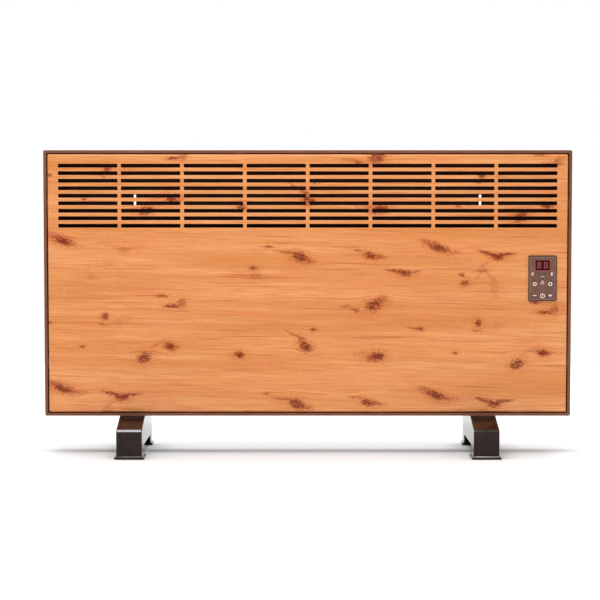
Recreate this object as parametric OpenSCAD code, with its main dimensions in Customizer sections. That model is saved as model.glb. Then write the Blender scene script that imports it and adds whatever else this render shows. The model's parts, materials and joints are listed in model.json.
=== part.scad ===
// Free-standing electric panel convector heater: steel case, slotted front panel,
// finned heating elements, electronic control plate and two moulded feet.
// Millimetres, +Z up, front towards -Y, origin on the floor under the middle of the case.

/* [Case] */
// Width of the case
body_w = 892; // [760:1:1200]
// Height of the case
body_h = 450; // [400:1:600]
// Depth of the case
body_d = 76; // [66:1:110]
// Height of the case above the floor
base_clear = 66; // [60:1:90]
// Thickness of the case sheet
sheet = 1.2; // [0.8:0.1:2]
// Width of the rim seen from the front
rim_w = 5; // [4:0.5:8]
// Depth of the rim's folded hem
rim_depth = 9; // [6:0.5:14]
// Outer corner radius of the case
corner_r = 3; // [2:0.5:8]
// Width of the rear flange that takes the back panel
rear_flange = 12; // [9:1:18]

/* [Front panel] */
// Gap between rim and front panel
panel_gap = 2; // [1:0.1:4]
// How far the front panel stands in front of the rim
panel_proud = 1; // [0:0.1:3]
// Depth of the front panel's folded edge
panel_fold = 9; // [6:0.5:14]
// Corner radius of the front panel
panel_r = 2; // [1:0.5:6]

/* [Grille] */
// Length of one outlet slot
slot_w = 100; // [60:1:130]
// Height of one outlet slot
slot_h = 6.4; // [4.5:0.1:8]
// Spacing of the slot rows
slot_pitch = 12.65; // [10.5:0.05:15]
// Number of slot rows
slot_rows = 9; // [4:1:11]
// Width of the bars between slot columns
bar_w = 6; // [4:0.5:12]
// Least margin between the outer slots and the panel edge
grille_margin = 17; // [12:1:40]
// Drop from the top of the case to the first slot
grille_drop = 22.9; // [18:0.1:40]

/* [Back panel] */
// Spacing of the two wall-hanging slots
hang_spacing = 597; // [400:1:640]
// Width of a wall-hanging slot
hang_w = 4; // [3.5:0.1:7]
// Height of a wall-hanging slot
hang_h = 20; // [14:1:30]
// Drop from the top of the case to the middle of the wall-hanging slots
hang_drop = 84; // [60:1:110]
// Width of one rear vent slot
vent_w = 5; // [3:0.5:6]
// Height of one rear vent slot
vent_h = 34; // [20:1:50]
// Spacing of the rear vent slots
vent_pitch = 14; // [10:1:24]

/* [Controls] */
// Width of the control fascia
fascia_w = 48; // [46:1:56]
// Height of the control fascia
fascia_h = 77; // [74:1:90]
// Thickness of the control fascia's plate
fascia_t = 2; // [1.6:0.1:3]
// Distance from the side of the case to the middle of the fascia
fascia_inset = 49; // [44:1:60]
// Drop from the top of the case to the middle of the fascia
fascia_drop = 216; // [205:1:230]
// Width of the display window
window_w = 24; // [22:0.5:28]
// Height of the display window
window_h = 17; // [15:0.5:19]
// Radius of the power key
power_key_r = 5; // [4:0.1:5.3]
// Radius of the other keys
small_key_r = 4; // [3:0.1:4.2]
// Travel of a key
key_travel = 0.5; // [0.3:0.1:0.8]

/* [Heating elements] */
// Outer radius of the fins
fin_r = 26; // [18:0.5:28]
// Number of fins round an element
fin_count = 12; // [8:2:16]
// Thickness of a fin
fin_t = 1.6; // [1.2:0.1:2.4]
// Radius of the heater core
core_r = 4; // [3:0.1:6]
// Height of the elements above the bottom of the case
element_rise = 110; // [80:1:150]

/* [Feet] */
// Spacing of the feet, middle to middle
foot_spacing = 596; // [400:1:640]
// Length of a foot, front to back
foot_len = 205; // [180:1:260]
// Width of a foot's upper part
foot_w = 43; // [36:1:60]
// Height of the foot's front face
foot_front_h = 49; // [40:1:54]
// Wall of the foot moulding
foot_wall = 3; // [2:0.1:4]
// How far the base flange stands out at the sides
flange_side = 3.5; // [2:0.5:6]
// How far the base flange stands out at the ends
flange_end = 2.5; // [1:0.5:4]
// Thickness of the base flange
flange_t = 3; // [2:0.1:5]
// Height of the arch in the foot's sides
arch_h = 20; // [14:1:26]
// How far the pads stand below the foot
pad_proud = 1; // [0.5:0.1:2]

/* [Hidden] */

$fn = 48;
over = 1;                 // how far a cutter runs past the face it cuts
fit_gap = 0.3;            // clearance of pieces that drop into an opening
touch_gap = 0.1;          // clearance of pieces that are pressed or held together
run_gap = 0.05;           // radial running clearance of a pin in its bore

// case
y_front = -body_d / 2;
y_back = body_d / 2;
z_bottom = base_clear;
z_top = base_clear + body_h;
panel_y = y_front - panel_proud;            // front face of the front panel
panel_back = panel_y + sheet;               // rear face of the front panel
back_in = y_back - sheet;                   // inner face of the back panel
floor_in = z_bottom + sheet;                // inner face of the case's bottom
side_in = body_w / 2 - sheet;               // inner face of the case's sides
panel_w = body_w - 2 * (rim_w + panel_gap);
panel_h = body_h - 2 * (rim_w + panel_gap);
back_w = 2 * side_in - 2 * touch_gap;
back_h = body_h - 2 * sheet - 2 * touch_gap;
z_mid = z_bottom + body_h / 2;

// grille
slot_cols = floor((panel_w - 2 * grille_margin + bar_w) / (slot_w + bar_w));
grille_w = slot_cols * (slot_w + bar_w) - bar_w;
grille_foot = z_top - grille_drop - (slot_rows - 1) * slot_pitch - slot_h;

// controls
fascia_x = body_w / 2 - fascia_inset;
fascia_z = z_top - fascia_drop;
fascia_y = panel_y - fascia_t;              // front face of the fascia
fascia_r = 2.5;
skirt_wall = 1.2;
skirt_depth = 6;
skirt_w = fascia_w - 6;
skirt_h = fascia_h - 4;
lens_t = 1.2;
lens_ledge = 1;
window_up = 22;                             // display centre above the fascia's middle
lamp_r = 0.8;
lamp_row_up = 7.8;
lamp_row_count = 6;
lamp_row_pitch = 4.4;
big_lamp_r = 1.5;
side_lamp_drop = 3.5;
key_row_x = 13.2;
upper_key_drop = 9.7;
lower_key_drop = 29;
key_proud = 0.5;
key_flange = 0.6;
key_flange_t = 0.8;
stem_r = 1.6;
board_t = 1.6;
board_w = skirt_w - 2;
board_h = skirt_h - 2;
board_y = fascia_y + fascia_t + 10;         // front face of the control board
switch_size = 6;
switch_t = 3.5;
stem_gap = 0.2;
box_wall = 2;
box_w = fascia_w + 18;
box_h = fascia_h + 14;
box_back = board_y + board_t + 16;          // rear face of the control box
box_post_r = 3;
post_inset = 3.5;
post_low_z = -20;                           // lower posts, between the two rows of keys
screw_r = 1.5;
screw_head_r = 2.8;
screw_head_t = 1.8;
screw_bite = 8;                             // how deep a board screw goes into its post

// control space at the right-hand end
shield_x = fascia_x - box_w / 2 - 12;       // left face of the heat shield
shield_top = fascia_z + box_h / 2 + 6;
grommet_r = 7;
grommet_z = floor_in + 50;
power_w = 62;
power_h = 100;
power_x = shield_x + sheet + 8 + power_w / 2;
power_z = fascia_z - box_h / 2 - 12 - power_h / 2;
standoff_len = 14;
power_y = back_in - standoff_len - board_t; // front face of the power board
relay_size = [19, 15, 15];
module_size = [30, 17, 24];
cap_r = 5;
cap_len = 16;

// cable inlet and earth
gland_x = shield_x + sheet + 28;
gland_z = floor_in + 26;
gland_bore_r = 4;
gland_body_r = 7.5;
gland_head_r = 11;
gland_head_t = 9;
gland_thread_len = 12;
nut_r = 11;
nut_t = 5;
terminal_size = [30, 14, 20];
terminal_x = gland_x + 32;
earth_r = 2.5;
earth_len = 14;
earth_z = gland_z + 26;

// tip-over switch
tilt_x = fascia_x;
tilt_y = -8;
tilt_gap = 16;                              // between the cheeks
cheek_t = 2;
cheek_w = 16;
tilt_base_t = 2.5;
pivot_z = floor_in + 46;
pivot_r = 2;
arm_len = 24;
arm_w = 6;
arm_t = 4;
hub_r = 5;
bob_r = 7;
bob_len = 11;

// elements
chamber_left = -side_in;
chamber_right = shield_x;
element_z = z_bottom + element_rise;
element_end = 32;                           // from an element's end to the chamber's end
element_split = 44;                         // between the two elements
element_len = (chamber_right - chamber_left - 2 * element_end - element_split) / 2;
element_x = [chamber_left + element_end, chamber_left + element_end + element_len + element_split];
hub_wall = 5;
core_out = 15;                              // how far a core stands out of its element
bush_len = 10;
bush_wall = 4;
bush_flange = 3;
bracket_t = 1.5;
bracket_off = 6;                            // from an element's end to its bracket
bracket_h = 40;
bracket_foot = 14;
terminal_len = 6;

// feet
leg_front = 41;                             // length of the front leg at the floor
leg_rear = 28;
arch_slope = 6;
foot_top = z_bottom;
foot_in = foot_len - 2 * flange_end;        // length of the upper part
seat_len = body_d;
recess_t = 1.5;
recess_margin = 6;
pad_r = 11;
pad_sink = 1;
foot_screw_r = 2.4;
foot_screw_y = 22;
plate_t = 3;

// inlet grille in the bottom
inlet_w = foot_spacing - foot_w - 46;
inlet_d = body_d - 36;
inlet_slot_w = 6;
inlet_pitch = 12;

// ---------------------------------------------------------------- shared shapes

// block with a given centre in X and Z, from y0 to y1
module slab_xz(cx, cz, w, h, y0, y1) {
    translate([cx - w / 2, y0, cz - h / 2])
        cube([w, y1 - y0, h]);
}

// flat outline with round corners
module round_rect(w, h, r) {
    union() {
        square([w - 2 * r, h], center = true);
        square([w, h - 2 * r], center = true);
        for (sx = [-1, 1], sy = [-1, 1])
            translate([sx * (w / 2 - r), sy * (h / 2 - r)])
                circle(r = r);
    }
}

// stands a flat outline up in the XZ plane, from y0 back to y1
module upright(y0, y1) {
    translate([0, y1, 0])
        rotate([90, 0, 0])
            linear_extrude(height = y1 - y0)
                children();
}

// ring between two round-cornered outlines, from y0 back to y1
module ring_xz(w, h, r, wall, y0, y1) {
    upright(y0, y1)
        difference() {
            round_rect(w, h, r);
            round_rect(w - 2 * wall, h - 2 * wall, max(r - wall, 0.4));
        }
}

// cylinder along Y
module rod_y(x, z, r, y0, y1) {
    translate([x, y1, z])
        rotate([90, 0, 0])
            cylinder(r = r, h = y1 - y0);
}

// cylinder along X
module rod_x(y, z, r, x0, x1) {
    translate([x0, y, z])
        rotate([0, 90, 0])
            cylinder(r = r, h = x1 - x0);
}

// ---------------------------------------------------------------- case

module case_frame() {
    color("#9a6248")
        difference() {
            translate([0, 0, z_mid]) {
                ring_xz(body_w, body_h, corner_r, sheet, y_front, y_back);
                ring_xz(body_w, body_h, corner_r, rim_w, y_front, y_front + sheet);
                ring_xz(body_w - 2 * (rim_w - sheet), body_h - 2 * (rim_w - sheet), corner_r,
                    sheet, y_front, y_front + rim_depth);
                ring_xz(body_w, body_h, corner_r, rear_flange, y_back - 2 * sheet, y_back - sheet);
            }
            translate([-inlet_w / 2, -inlet_d / 2, z_bottom - over])
                cube([inlet_w, inlet_d, sheet + 2 * over]);
            for (side = [-1, 1], y = [-foot_screw_y, foot_screw_y])
                translate([side * foot_spacing / 2, y, z_bottom - over])
                    cylinder(r = foot_screw_r + touch_gap, h = sheet + 2 * over);
        }
}

// outline of one wall-hanging slot
module hang_outline() {
    straight = hang_h - hang_w;
    square([hang_w, straight], center = true);
    for (sz = [-1, 1])
        translate([0, sz * straight / 2])
            circle(r = hang_w / 2);
}

module back_panel() {
    vent_count = floor((inlet_w - vent_w) / vent_pitch);
    vent_z = -back_h / 2 + rear_flange + 14 + vent_h / 2;
    color("#3a2a22")
        difference() {
            union() {
                translate([0, 0, z_mid])
                    upright(back_in, y_back)
                        difference() {
                            round_rect(back_w, back_h, corner_r);
                            for (side = [-1, 1])
                                translate([side * hang_spacing / 2, body_h / 2 - hang_drop])
                                    hang_outline();
                            for (i = [0 : vent_count - 1])
                                translate([(i - (vent_count - 1) / 2) * vent_pitch, vent_z])
                                    round_rect(vent_w, vent_h, vent_w / 2 - 0.1);
                        }
                // pressed stiffening beads
                for (lift = [-0.06, 0.1])
                    translate([0, 0, z_mid + lift * body_h])
                        upright(y_back - sheet / 2, y_back + sheet)
                            round_rect(hang_spacing, 14, 6);
            }
            rod_y(gland_x, gland_z, gland_body_r + touch_gap, back_in - over, y_back + 2 * over);
        }
}

module front_panel() {
    color("#e69b62")
        translate([0, 0, z_mid]) {
            upright(panel_y, panel_back)
                difference() {
                    round_rect(panel_w, panel_h, panel_r);
                    for (col = [0 : slot_cols - 1], row = [0 : slot_rows - 1])
                        translate([-grille_w / 2 + col * (slot_w + bar_w),
                            body_h / 2 - grille_drop - slot_h - row * slot_pitch])
                            square([slot_w, slot_h]);
                    translate([fascia_x, fascia_z - z_mid])
                        square([skirt_w + 2 * fit_gap, skirt_h + 2 * fit_gap], center = true);
                }
            ring_xz(panel_w, panel_h, panel_r, sheet, panel_y, panel_y + panel_fold);
        }
}

// spring clips in the gap between the rim's hem and the panel's fold
module panel_clips() {
    clip_w = 16;
    clip_y0 = y_front + 3;
    clip_y1 = min(y_front + rim_depth, panel_y + panel_fold) - 0.5;
    color("#8d8f91") {
        for (share = [-0.4, -0.13, 0.13, 0.4], side = [-1, 1])
            slab_xz(share * body_w, z_mid + side * (panel_h + panel_gap) / 2, clip_w, panel_gap,
                clip_y0, clip_y1);
        for (share = [-0.3, 0.3], side = [-1, 1])
            slab_xz(side * (panel_w + panel_gap) / 2, z_mid + share * body_h, panel_gap, clip_w,
                clip_y0, clip_y1);
    }
}

module inlet_grille() {
    lip = 6;
    upstand = 7.5;                          // folded front edge that stiffens the sheet
    count = floor((inlet_w - 8) / inlet_pitch);
    plate_w = inlet_w + 2 * lip;
    plate_d = inlet_d + 2 * lip;
    color("#2b2320")
        translate([0, 0, floor_in])
            union() {
                linear_extrude(height = sheet)
                    difference() {
                        square([plate_w, plate_d], center = true);
                        for (i = [0 : count - 1])
                            translate([(i - (count - 1) / 2) * inlet_pitch, 0])
                                square([inlet_slot_w, inlet_d - 8], center = true);
                    }
                translate([-plate_w / 2, -plate_d / 2, 0])
                    cube([plate_w, sheet, upstand]);
            }
}

// sloping sheet that turns the warm air forward under the top of the case
module air_deflector() {
    rise = 40;
    lip = 12;
    z_high = z_top - sheet - 6;
    z_low = z_high - rise;
    half = side_in - rear_flange - 1;
    color("#2b2320")
        translate([-half, 0, 0])
            rotate([90, 0, 90])
                linear_extrude(height = 2 * half)
                    polygon([[back_in, z_low - lip], [back_in, z_low], [back_in - rise, z_high],
                        [back_in - rise, z_high - sheet * 1.5], [back_in - sheet, z_low - sheet],
                        [back_in - sheet, z_low - lip]]);
}

// folded partition that keeps the heat away from the electronics
module heat_shield() {
    y0 = panel_back + 0.5;
    y1 = back_in;
    flange = 12;
    color("#9aa0a4")
        difference() {
            union() {
                translate([shield_x, y0, floor_in])
                    cube([sheet, y1 - y0, shield_top - floor_in]);
                translate([shield_x, y0, shield_top - sheet])
                    cube([side_in - shield_x, y1 - y0, sheet]);
                translate([shield_x - flange, y1 - sheet, floor_in + 8])
                    cube([flange + sheet, sheet, shield_top - floor_in - 16]);
            }
            rod_x(0, grommet_z, grommet_r, shield_x - over, shield_x + sheet + over);
            translate([shield_x - flange - over, y1 - 3 * sheet, floor_in - over])
                cube([flange + 3 * sheet, 4 * sheet, rear_flange + over]);
            translate([shield_x - over, y0 - over, floor_in - over])
                cube([3 * sheet, rim_depth + over, rim_w + panel_gap + 2]);
            translate([panel_w / 2 - 2 * sheet, y0 - over, shield_top - 2 * sheet])
                cube([rim_w + panel_gap + 2 * sheet, rim_depth + over, 3 * sheet]);
            translate([side_in - rear_flange, y1 - 3 * sheet, shield_top - 2 * sheet])
                cube([rear_flange + over, 4 * sheet, 3 * sheet]);
        }
}

module shield_grommet() {
    lip = 2;
    bore = 4;
    color("#4a4a4a")
        difference() {
            union() {
                rod_x(0, grommet_z, grommet_r, shield_x, shield_x + sheet);
                rod_x(0, grommet_z, grommet_r + lip, shield_x - lip, shield_x);
                rod_x(0, grommet_z, grommet_r + lip, shield_x + sheet, shield_x + sheet + lip);
            }
            rod_x(0, grommet_z, bore, shield_x - 2 * lip, shield_x + sheet + 2 * lip);
        }
}

// stiff plates behind the two wall-hanging slots
module wall_slot_plates() {
    color("#8d8f91")
        for (side = [-1, 1])
            translate([side * hang_spacing / 2, 0, z_top - hang_drop])
                upright(back_in - plate_t, back_in)
                    difference() {
                        round_rect(hang_w + 26, hang_h + 20, 3);
                        offset_free_slot();
                    }
}

// the opening in a slot plate, a little larger than the wall-hanging slot
module offset_free_slot() {
    square([hang_w + 2, hang_h + 2], center = true);
}

module case_screws() {
    count = 8;
    z_rows = [z_bottom + sheet + rear_flange / 2, z_top - sheet - rear_flange / 2];
    span = 2 * side_in - rear_flange - 20;
    color("#7a7d80") {
        for (i = [0 : count - 1], z = z_rows)
            screw_back(-span / 2 + i * span / (count - 1), z);
        for (side = [-1, 1], lift = [-0.2, 0.2])
            screw_back(side * (side_in - rear_flange / 2), z_mid + lift * body_h);
    }
}

// pan-head screw seated on the back panel
module screw_back(x, z) {
    rod_y(x, z, 3.2, y_back, y_back + 1.6);
}

// ---------------------------------------------------------------- controls

// places of the five keys on the fascia: x, z, radius
function key_place(name) =
    name == "timer" ? [-key_row_x, -upper_key_drop, small_key_r] :
    name == "mode" ? [key_row_x, -upper_key_drop, small_key_r] :
    name == "minus" ? [-key_row_x, -lower_key_drop, small_key_r] :
    name == "plus" ? [key_row_x, -lower_key_drop, small_key_r] :
    [0, -lower_key_drop, power_key_r];

KEYS = ["timer", "mode", "minus", "power", "plus"];

// places and radii of the indicator lamps on the fascia
lamp_row = [for (i = [0 : lamp_row_count - 1])
    [(i - (lamp_row_count - 1) / 2) * lamp_row_pitch, lamp_row_up, lamp_r]];
lamps = concat(lamp_row, [[0, 0, big_lamp_r],
    [-key_row_x, -side_lamp_drop, lamp_r], [key_row_x, -side_lamp_drop, lamp_r]]);

module control_fascia() {
    color("#6f5346")
        difference() {
            translate([fascia_x, 0, fascia_z]) {
                upright(fascia_y, panel_y)
                    round_rect(fascia_w, fascia_h, fascia_r);
                upright(panel_y - 0.5, panel_y + skirt_depth)
                    difference() {
                        square([skirt_w, skirt_h], center = true);
                        square([skirt_w - 2 * skirt_wall, skirt_h - 2 * skirt_wall], center = true);
                    }
            }
            slab_xz(fascia_x, fascia_z + window_up, window_w, window_h, fascia_y - over,
                fascia_y + lens_t);
            slab_xz(fascia_x, fascia_z + window_up, window_w - 2 * lens_ledge,
                window_h - 2 * lens_ledge, fascia_y - over, panel_y + over);
            for (lamp = lamps)
                rod_y(fascia_x + lamp[0], fascia_z + lamp[1], lamp[2] + touch_gap,
                    fascia_y - over, panel_y + over);
            for (name = KEYS)
                rod_y(fascia_x + key_place(name)[0], fascia_z + key_place(name)[1],
                    key_place(name)[2] + fit_gap, fascia_y - over, panel_y + over);
        }
}

module display_window() {
    color("#3a0c10")
        slab_xz(fascia_x, fascia_z + window_up, window_w - 2 * touch_gap, window_h - 2 * touch_gap,
            fascia_y, fascia_y + lens_t);
}

// front face of the display module
display_y = fascia_y + lens_t + 0.3;

// one seven-segment figure of a given height, its middle at x
module figure(x, z, h) {
    w = h * 0.62;
    bar = h * 0.15;
    for (row = [-1, 0, 1])
        translate([x - w / 2 + bar * 0.7, display_y - 0.2, z + row * (h - bar) / 2 - bar / 2])
            cube([w - bar * 1.4, 0.2, bar]);
    for (sx = [-1, 1], sz = [-1, 1])
        translate([x + sx * (w - bar) / 2 - bar / 2, display_y - 0.2,
            z + sz * h * 0.24 - h * 0.15])
            cube([bar, 0.2, h * 0.3]);
}

module display_digits() {
    digit_h = window_h * 0.62;
    color("#ff5a5a")
        for (side = [-1, 1])
            figure(fascia_x + side * window_w * 0.24, fascia_z + window_up, digit_h);
}

module display_module() {
    color("#26181a")
        slab_xz(fascia_x, fascia_z + window_up, window_w - 2 * lens_ledge - 2 * fit_gap,
            window_h - 2 * lens_ledge - 2 * fit_gap, display_y, board_y);
}

module indicator_lamps() {
    color("#d8b0a0")
        for (lamp = lamps)
            rod_y(fascia_x + lamp[0], fascia_z + lamp[1], lamp[2], fascia_y - 0.2, board_y);
}

// round key cap with a retaining flange behind the plate and a stem to its switch
module key_cap(place) {
    x = fascia_x + place[0];
    z = fascia_z + place[1];
    flange_y = panel_y + touch_gap;
    color("#54382f") {
        rod_y(x, z, place[2], fascia_y - key_proud, flange_y + key_flange_t);
        rod_y(x, z, place[2] + fit_gap + key_flange, flange_y, flange_y + key_flange_t);
        rod_y(x, z, stem_r, flange_y, board_y - switch_t - key_travel - stem_gap);
    }
}

module key_timer() { key_cap(key_place("timer")); }
module key_mode() { key_cap(key_place("mode")); }
module key_minus() { key_cap(key_place("minus")); }
module key_power() { key_cap(key_place("power")); }
module key_plus() { key_cap(key_place("plus")); }

module key_switches() {
    color("#303030")
        for (name = KEYS)
            slab_xz(fascia_x + key_place(name)[0], fascia_z + key_place(name)[1], switch_size,
                switch_size, board_y - switch_t, board_y);
}

// the four posts that carry the control board: x, z
POSTS = [for (sx = [-1, 1], up = [board_h / 2 - post_inset, post_low_z])
    [fascia_x + sx * (board_w / 2 - post_inset), fascia_z + up]];

module control_board() {
    color("#1f6b3a")
        difference() {
            slab_xz(fascia_x, fascia_z, board_w, board_h, board_y, board_y + board_t);
            for (post = POSTS)
                rod_y(post[0], post[1], screw_r + touch_gap, board_y - over,
                    board_y + board_t + over);
        }
}

module control_box() {
    color("#2e2e30")
        difference() {
            union() {
                difference() {
                    slab_xz(fascia_x, fascia_z, box_w, box_h, panel_back, box_back);
                    slab_xz(fascia_x, fascia_z, box_w - 2 * box_wall, box_h - 2 * box_wall,
                        panel_back - over, box_back - box_wall);
                }
                for (post = POSTS)
                    rod_y(post[0], post[1], box_post_r, board_y + board_t, box_back - box_wall / 2);
            }
            for (post = POSTS)
                rod_y(post[0], post[1], screw_r, board_y, board_y + board_t + screw_bite + 2);
            slab_xz(fascia_x, fascia_z - box_h / 2, 20, 3 * box_wall, box_back - 14, box_back - 6);
        }
}

module board_screws() {
    color("#a8abae")
        for (post = POSTS) {
            rod_y(post[0], post[1], screw_r - touch_gap, board_y - screw_head_t,
                board_y + board_t + screw_bite);
            rod_y(post[0], post[1], screw_head_r, board_y - screw_head_t, board_y);
        }
}

// ---------------------------------------------------------------- power electronics

module power_board() {
    color("#1f6b3a")
        slab_xz(power_x, power_z, power_w, power_h, power_y, power_y + board_t);
}

module power_standoffs() {
    color("#d8d4c8")
        for (sx = [-1, 1], sz = [-1, 1])
            rod_y(power_x + sx * (power_w / 2 - 5), power_z + sz * (power_h / 2 - 5), 3.5,
                power_y + board_t, back_in);
}

module relays() {
    color("#2457a0")
        for (side = [-1, 1])
            slab_xz(power_x + side * 15, power_z + power_h / 2 - 20, relay_size[0], relay_size[2],
                power_y - relay_size[1], power_y);
}

module power_module() {
    color("#202020")
        slab_xz(power_x - 10, power_z - 2, module_size[0], module_size[2],
            power_y - module_size[1], power_y);
}

module capacitor() {
    color("#3a3f52")
        rod_y(power_x + 18, power_z, cap_r, power_y - cap_len, power_y);
}

module terminal_block() {
    ways = 3;
    way_pitch = terminal_size[0] / ways;
    color("#e4e0d2")
        difference() {
            slab_xz(terminal_x, gland_z, terminal_size[0], terminal_size[2],
                back_in - terminal_size[1], back_in);
            for (i = [0 : ways - 1])
                rod_y(terminal_x + (i - (ways - 1) / 2) * way_pitch, gland_z + 5, 2,
                    back_in - terminal_size[1] - over, back_in - terminal_size[1] + 7);
        }
}

module earth_stud() {
    nut_h = 4;
    color("#c9a84c") {
        rod_y(gland_x, earth_z, earth_r, back_in - earth_len, back_in);
        translate([gland_x, back_in, earth_z])
            rotate([90, 0, 0])
                cylinder(r = 2 * earth_r, h = nut_h, $fn = 6);
    }
}

// ---------------------------------------------------------------- heating elements

// end view of a finned element with its core bore
module fin_profile() {
    difference() {
        union() {
            circle(r = core_r + hub_wall);
            for (i = [0 : fin_count - 1])
                rotate(i * 360 / fin_count)
                    translate([0, -fin_t / 2])
                        square([fin_r, fin_t]);
        }
        circle(r = core_r + touch_gap);
    }
}

module element(i) {
    color("#b9bcc0")
        translate([element_x[i], 0, element_z])
            rotate([90, 0, 90])
                linear_extrude(height = element_len)
                    fin_profile();
}

module element_left() { element(0); }
module element_right() { element(1); }

module heater_core(i) {
    color("#8a8378")
        rod_x(0, element_z, core_r, element_x[i] - core_out, element_x[i] + element_len + core_out);
}

module heater_core_left() { heater_core(0); }
module heater_core_right() { heater_core(1); }

// the four places where a core goes through a bracket: element, end, direction outwards
CORE_ENDS = [for (i = [0, 1], out = [-1, 1]) [element_x[i] + (out > 0 ? element_len : 0), out]];

module ceramic_bushes() {
    bush_r = core_r + bush_wall;
    color("#efe9dc")
        for (end = CORE_ENDS) {
            mid = end[0] + end[1] * (bracket_off + bracket_t / 2);
            difference() {
                union() {
                    rod_x(0, element_z, bush_r, mid - bush_len / 2, mid + bush_len / 2);
                    rod_x(0, element_z, bush_r + bush_flange, mid + bracket_t / 2,
                        mid + bracket_t / 2 + 2);
                }
                rod_x(0, element_z, core_r + touch_gap, mid - bush_len, mid + bush_len);
            }
        }
}

module core_terminals() {
    color("#c9a84c")
        for (end = CORE_ENDS) {
            x = end[0] + end[1] * core_out;
            translate([min(x, x + end[1] * terminal_len), -0.4, element_z - 3])
                cube([terminal_len, 0.8, 6]);
        }
}

module element_brackets() {
    hole_r = core_r + bush_wall + touch_gap;
    color("#8d8f91")
        for (end = CORE_ENDS) {
            x = end[0] + end[1] * bracket_off;
            x0 = min(x, x + end[1] * bracket_t);
            difference() {
                union() {
                    translate([x0, -hole_r - 8, element_z - bracket_h / 2])
                        cube([bracket_t, back_in + hole_r + 8, bracket_h]);
                    translate([end[1] > 0 ? x0 : x0 + bracket_t - bracket_foot,
                        back_in - bracket_t, element_z - bracket_h / 2])
                        cube([bracket_foot, bracket_t, bracket_h]);
                }
                rod_x(0, element_z, hole_r, x0 - over, x0 + bracket_t + over);
            }
        }
}

// ---------------------------------------------------------------- safety parts

cutout_x = element_x[1] + element_len / 2;
cutout_z = element_z + fin_r + 26;
cutout_r = 8;
cutout_t = 9;
cutout_y = back_in - 26;

module cutout_bracket() {
    width = 24;
    color("#8d8f91") {
        slab_xz(cutout_x, cutout_z, width, width, cutout_y, cutout_y + bracket_t);
        translate([cutout_x - width / 2, cutout_y, cutout_z + width / 2 - bracket_t])
            cube([width, back_in - cutout_y, bracket_t]);
        slab_xz(cutout_x, cutout_z + width / 2 + 8, width, 16 + 2 * bracket_t, back_in - bracket_t,
            back_in);
    }
}

module thermal_cutout() {
    color("#d9d4c6") {
        rod_y(cutout_x, cutout_z, cutout_r, cutout_y - cutout_t, cutout_y);
        for (side = [-1, 1])
            translate([cutout_x + side * 4 - 2, cutout_y - cutout_t - 7, cutout_z - 0.4])
                cube([4, 7.5, 0.8]);
    }
}

sensor_x = shield_x - 60;
sensor_z = floor_in + 22;

module sensor_clip() {
    color("#d8d4c8")
        difference() {
            slab_xz(sensor_x, sensor_z, 8, 12, back_in - 20, back_in);
            rod_x(back_in - 15, sensor_z, 2 + touch_gap, sensor_x - 8, sensor_x + 8);
        }
}

module room_sensor() {
    tip = 10;
    color("#1c1c1c") {
        rod_x(back_in - 15, sensor_z, 2, sensor_x - tip, sensor_x + tip);
        translate([sensor_x - tip, back_in - 15, sensor_z])
            sphere(r = 2);
    }
}

// U-shaped housing of the tip-over switch
module tilt_switch_body() {
    color("#d8d4c8")
        difference() {
            union() {
                for (side = [-1, 1])
                    slab_xz(tilt_x + side * (tilt_gap + cheek_t) / 2, (floor_in + pivot_z + 8) / 2,
                        cheek_t, pivot_z + 8 - floor_in, tilt_y - cheek_w / 2,
                        tilt_y + cheek_w / 2);
                slab_xz(tilt_x, floor_in + tilt_base_t / 2, tilt_gap + 2 * cheek_t, tilt_base_t,
                    tilt_y - cheek_w / 2, tilt_y + cheek_w / 2);
            }
            rod_x(tilt_y, pivot_z, pivot_r, tilt_x - tilt_gap, tilt_x + tilt_gap);
        }
}

module tilt_pin() {
    color("#a8abae")
        rod_x(tilt_y, pivot_z, pivot_r, tilt_x - tilt_gap / 2 - cheek_t,
            tilt_x + tilt_gap / 2 + cheek_t);
}

// weight that hangs from the pin and swings when the heater tips
module tilt_pendulum() {
    color("#8a8378")
        difference() {
            union() {
                rod_x(tilt_y, pivot_z, hub_r, tilt_x - arm_t / 2, tilt_x + arm_t / 2);
                slab_xz(tilt_x, pivot_z - arm_len / 2, arm_t, arm_len, tilt_y - arm_w / 2,
                    tilt_y + arm_w / 2);
                rod_x(tilt_y, pivot_z - arm_len, bob_r, tilt_x - bob_len / 2, tilt_x + bob_len / 2);
            }
            rod_x(tilt_y, pivot_z, pivot_r + run_gap, tilt_x - arm_t, tilt_x + arm_t);
        }
}

module tilt_microswitch() {
    color("#202020")
        slab_xz(tilt_x, pivot_z + 12, tilt_gap, 8, tilt_y - 5, tilt_y + 5);
}

module cable_gland() {
    color("#2a2a2a")
        difference() {
            union() {
                rod_y(gland_x, gland_z, gland_body_r, back_in - gland_thread_len, y_back);
                rod_y(gland_x, gland_z, gland_head_r, y_back, y_back + gland_head_t);
            }
            rod_y(gland_x, gland_z, gland_bore_r, back_in - gland_thread_len - over,
                y_back + gland_head_t + over);
        }
}

module gland_nut() {
    color("#2a2a2a")
        difference() {
            translate([gland_x, back_in, gland_z])
                rotate([90, 0, 0])
                    cylinder(r = nut_r, h = nut_t, $fn = 6);
            rod_y(gland_x, gland_z, gland_body_r + touch_gap, back_in - nut_t - over,
                back_in + over);
        }
}

// unit vector
function unit(v) = v / norm(v);

// direction of a route at one of its points, halving the bend
function heading(route, i) =
    unit((i > 0 ? unit(route[i] - route[i - 1]) : [0, 0, 0]) +
        (i < len(route) - 1 ? unit(route[i + 1] - route[i]) : [0, 0, 0]));

// ring of points round one point of a route
function wire_ring(centre, dir, r, sides) =
    let (across_dir = unit(cross(dir, [0.37, 0.61, 0.7])), up_dir = cross(dir, across_dir))
    [for (k = [0 : sides - 1])
        centre + r * (cos(k * 360 / sides) * across_dir + sin(k * 360 / sides) * up_dir)];

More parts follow.
